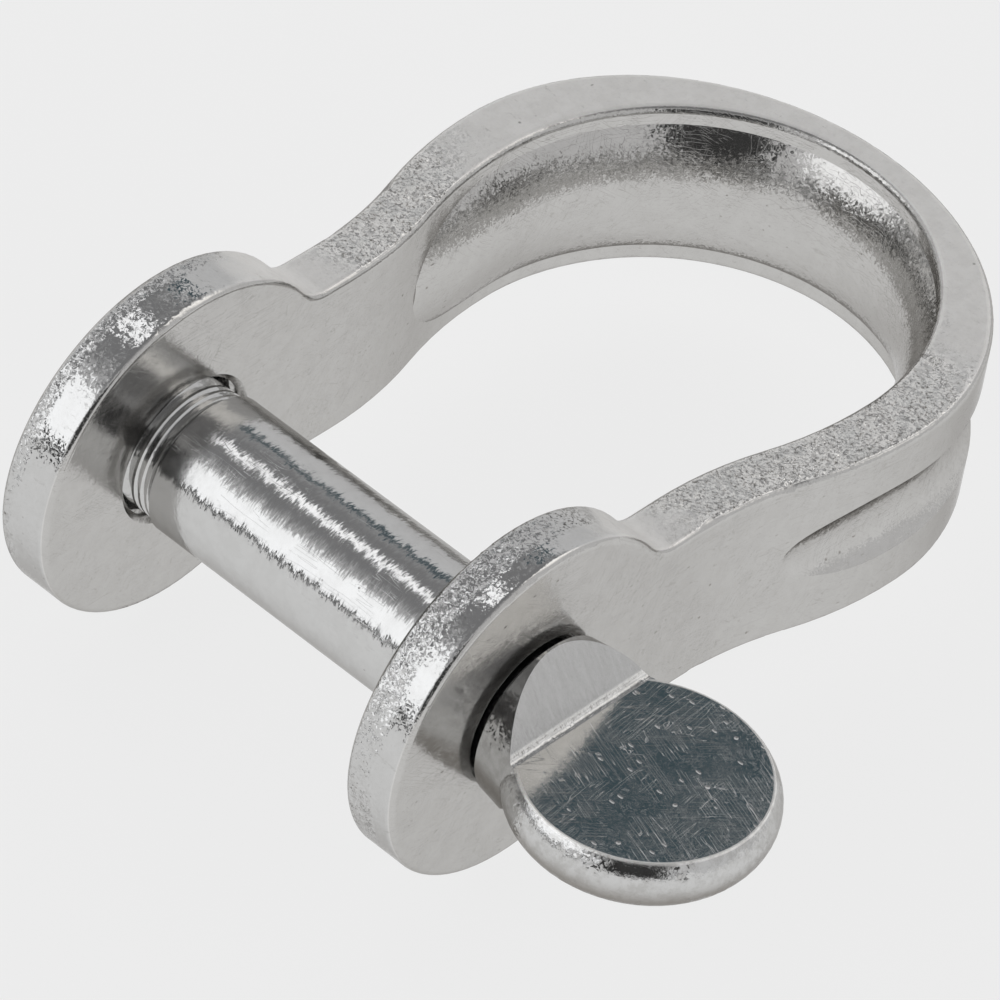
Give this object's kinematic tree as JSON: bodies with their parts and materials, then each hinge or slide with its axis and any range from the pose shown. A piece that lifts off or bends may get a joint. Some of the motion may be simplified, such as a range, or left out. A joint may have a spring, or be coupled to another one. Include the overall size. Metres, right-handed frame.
{
  "type": "bow shackle",
  "caption": "Small bow shackle pressed from stainless strip, with a grooved rope saddle in the crown and a screw pin turned by a flat thumb paddle.",
  "frame": {"origin": "on the pin's axis, midway between the two ears", "axes": "+X along the pin to its paddle, +Y from the pin to the crown of the bow, +Z square to the plane of the bow"},
  "size_m": [0.0272, 0.0313, 0.0122],
  "materials": {
    "polished_strip": "tumbled and polished stainless steel",
    "polished_pin": "bright drawn stainless bar",
    "polished_head": "coined and polished stainless steel"
  },
  "bodies": {
    "shackle_body": {"shackle_body": "polished_strip"},
    "pin_shank": {"pin_shank": "polished_pin"},
    "pin_head": {"pin_head": "polished_head"}
  },
  "joints": [
    {"name": "pin_travel", "type": "slide", "parent": "shackle_body", "child": "pin_shank", "axis": [1, 0, 0], "range_m": [0, 0.019]},
    {"name": "pin_turn", "type": "hinge", "parent": "pin_shank", "child": "pin_head", "pos_m": [0.0086, 0, 0], "axis": [1, 0, 0], "range_deg": [0, 13680]}
  ],
  "couplings": [
    {"joint": "pin_turn", "follows": "pin_travel", "rad_per_m": 12566}
  ]
}
